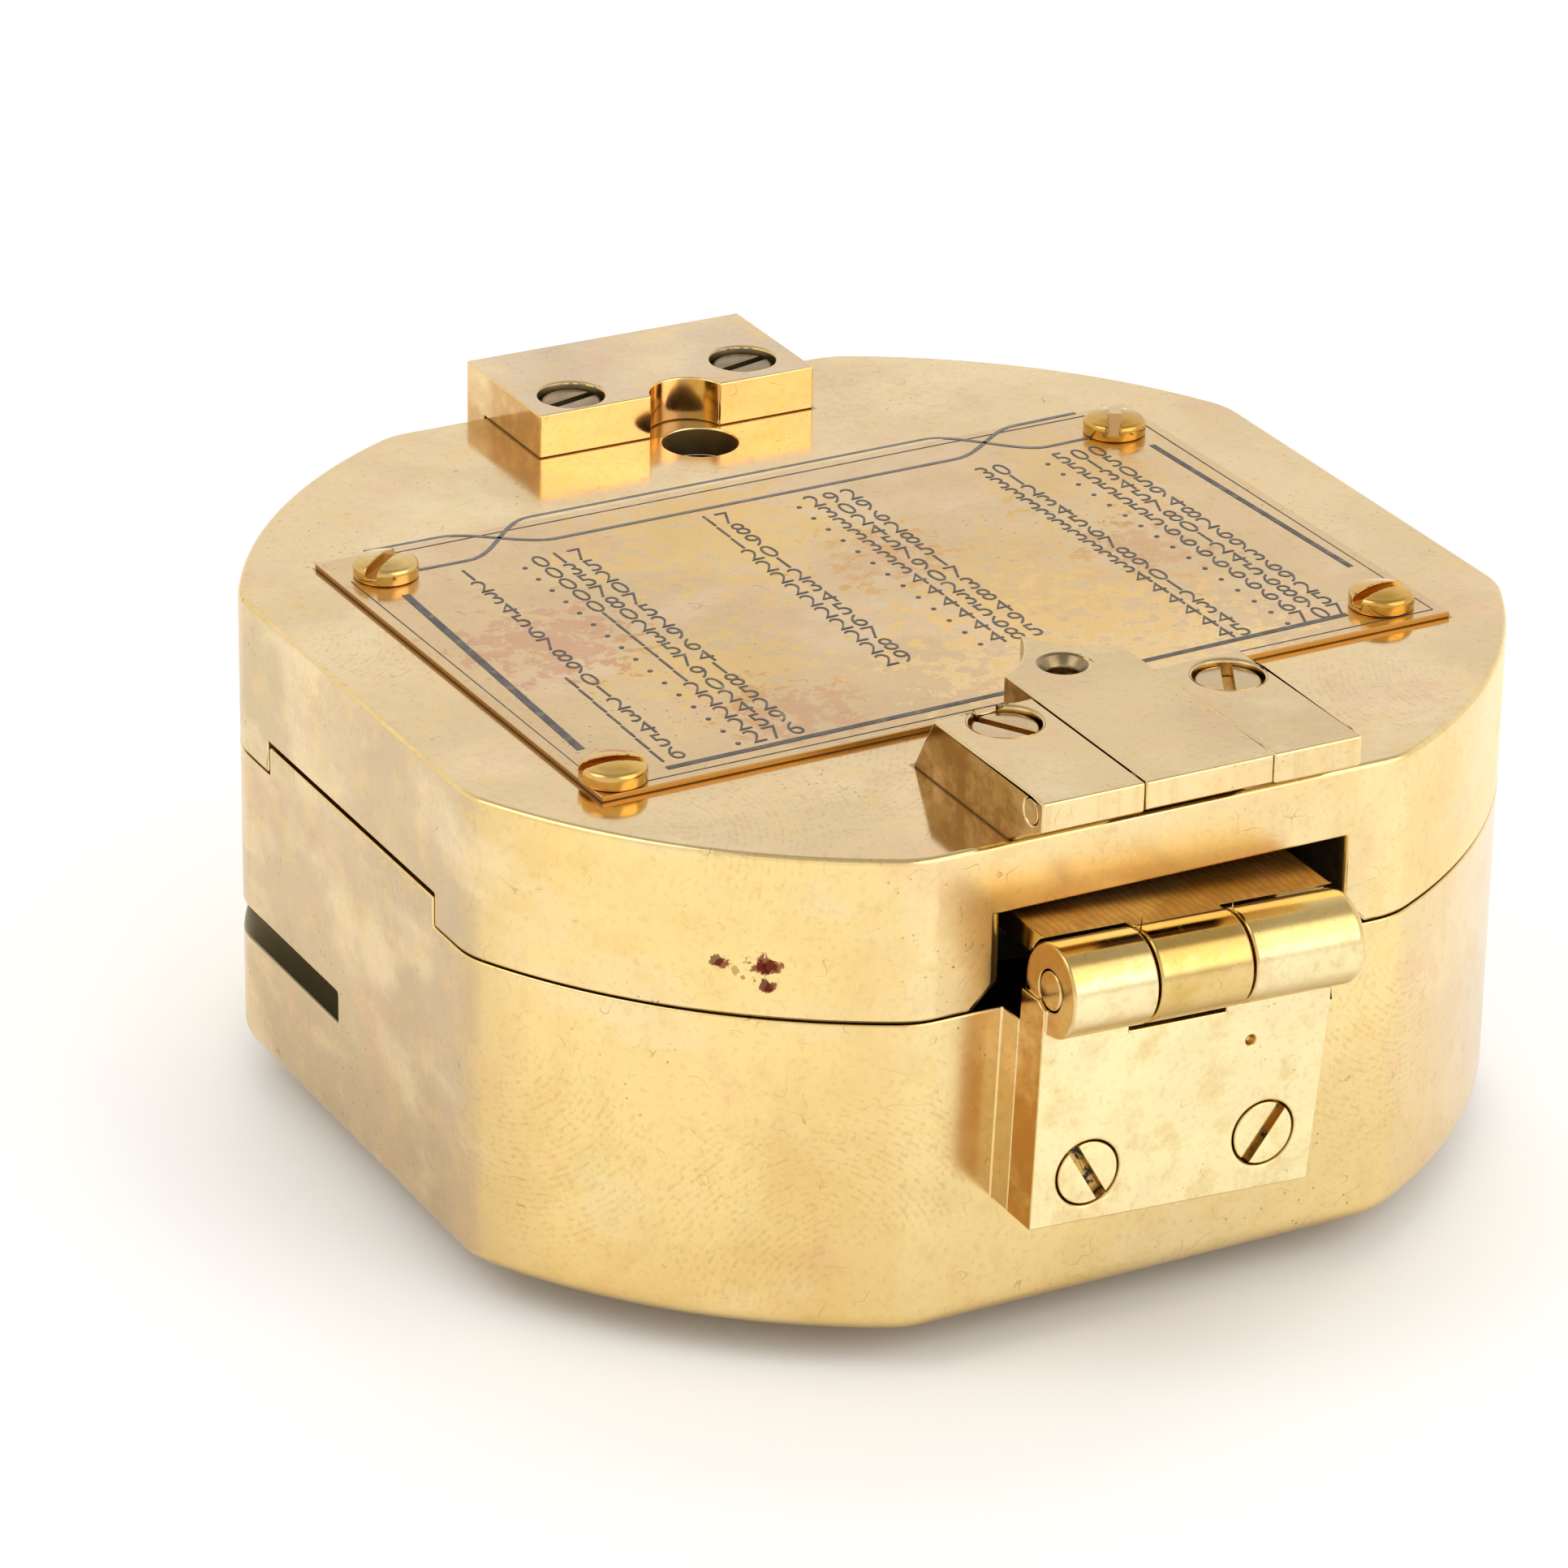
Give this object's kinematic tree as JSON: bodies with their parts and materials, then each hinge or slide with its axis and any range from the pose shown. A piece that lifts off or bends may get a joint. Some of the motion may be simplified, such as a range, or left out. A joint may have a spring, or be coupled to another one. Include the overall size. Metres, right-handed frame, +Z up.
{
  "type": "pocket transit compass",
  "caption": "Round brass folding pocket transit with flats, hinged mirror lid, sine table plate, folding sights, compass needle, spirit levels and clinometer lever.",
  "frame": {"origin": "centre of the bounding box at its bottom, on the surface the closed instrument stands on, under the clinometer lever and on the needle axis", "axes": "+Z up through the lid, +X along both hinge axes, +Y from the large-sight hinge to the lid hinge"},
  "size_m": [0.075, 0.0908, 0.039],
  "materials": {
    "polished_brass": "hand-polished cast brass with a cloudy golden tarnish and handling marks",
    "satin_brass": "fine satin brass, filed faces with saw marks",
    "pale_brass": "bright pale polished brass",
    "screw_brass": "polished brass screw with dark grime in its slot",
    "silvered_metal": "silvered dial metal with engraved divisions filled black",
    "steel": "bright turned steel",
    "blued_steel": "blued spring steel",
    "mirror_glass": "silvered glass mirror",
    "crystal_glass": "clear polished flat glass",
    "level_spirit": "glass vial with yellow-green spirit"
  },
  "bodies": {
    "case": {"body_case": "polished_brass", "sight_hinge_plate": "pale_brass", "sight_hinge_screw_left": "screw_brass", "sight_hinge_screw_right": "screw_brass", "sight_hinge_pin": "satin_brass", "lid_hinge_lower_leaf": "pale_brass", "lid_hinge_lower_screw_left": "screw_brass", "lid_hinge_lower_screw_right": "screw_brass", "lid_hinge_pin": "satin_brass", "dial_plate": "silvered_metal", "azimuth_ring": "silvered_metal", "crystal_glass": "crystal_glass", "crystal_ring": "polished_brass", "round_level_holder": "pale_brass", "round_level_vial": "level_spirit", "lifter_fulcrum": "pale_brass"},
    "lid": {"lid_case": "polished_brass", "table_plate": "satin_brass", "table_screw_1": "screw_brass", "table_screw_2": "screw_brass", "table_screw_3": "screw_brass", "table_screw_4": "screw_brass", "sight_block_left": "satin_brass", "sight_block_right": "satin_brass", "small_sight_pin": "pale_brass", "sight_block_screw_left": "screw_brass", "sight_block_screw_right": "screw_brass", "lid_hinge_upper_leaf": "pale_brass", "lid_hinge_upper_screw_left": "screw_brass", "lid_hinge_upper_screw_right": "screw_brass", "mirror": "mirror_glass", "mirror_ring": "polished_brass"},
    "small_sight": {"small_sight_tongue": "satin_brass"},
    "large_sight": {"large_sight_arm": "satin_brass", "peep_hinge_pin": "steel"},
    "peep": {"peep_sight": "satin_brass"},
    "needle": {"needle_blade": "blued_steel", "needle_cap": "screw_brass", "needle_counterweight": "pale_brass"},
    "clinometer": {"clinometer_shaft": "steel", "clinometer_lever": "polished_brass", "clinometer_lever_screw": "screw_brass", "vernier_arm": "silvered_metal", "long_level_holder": "pale_brass", "long_level_vial": "level_spirit", "needle_pivot_post": "steel"},
    "lifter": {"needle_lifter": "steel"},
    "lock_pin": {"needle_lock_pin": "screw_brass"}
  },
  "joints": [
    {"name": "lid_hinge", "type": "hinge", "parent": "case", "child": "lid", "pos_m": [0, 0.0424, 0.0252], "axis": [-1, 0, 0], "range_deg": [0, 180]},
    {"name": "large_sight_hinge", "type": "hinge", "parent": "case", "child": "large_sight", "pos_m": [-0.0003, -0.0424, 0.0268], "axis": [0.9994, 0, -0.0349], "range_deg": [0, 90]},
    {"name": "peep_hinge", "type": "hinge", "parent": "large_sight", "child": "peep", "pos_m": [-0.00023, 0.011, 0.0288], "axis": [0.9994, 0, -0.0349], "range_deg": [0, 90]},
    {"name": "small_sight_hinge", "type": "hinge", "parent": "lid", "child": "small_sight", "pos_m": [0.00072, -0.03968, 0.03796], "axis": [1, 0, 0], "range_deg": [0, 90]},
    {"name": "needle_spin", "type": "hinge", "parent": "case", "child": "needle", "pos_m": [0, 0, 0.0169], "axis": [0, 0, 1], "continuous": true},
    {"name": "clinometer_turn", "type": "hinge", "parent": "case", "child": "clinometer", "pos_m": [0, 0, 0.0064], "axis": [0, 0, 1], "range_deg": [-90, 90]},
    {"name": "needle_lifter_rock", "type": "hinge", "parent": "case", "child": "lifter", "pos_m": [0.02015, -0.02015, 0.014], "axis": [-0.7071, -0.7071, 0], "range_deg": [0, 2.4]},
    {"name": "lock_pin_slide", "type": "slide", "parent": "case", "child": "lock_pin", "axis": [0, 0, 1], "range_m": [0, 0.0004]}
  ],
  "couplings": [
    {"joint": "large_sight_hinge", "follows": "lid_hinge", "ratio": 0.5},
    {"joint": "peep_hinge", "follows": "lid_hinge", "ratio": 0.5},
    {"joint": "needle_lifter_rock", "follows": "lid_hinge", "ratio": 0.0133},
    {"joint": "lock_pin_slide", "follows": "lid_hinge", "m_per_rad": 0.000118}
  ]
}
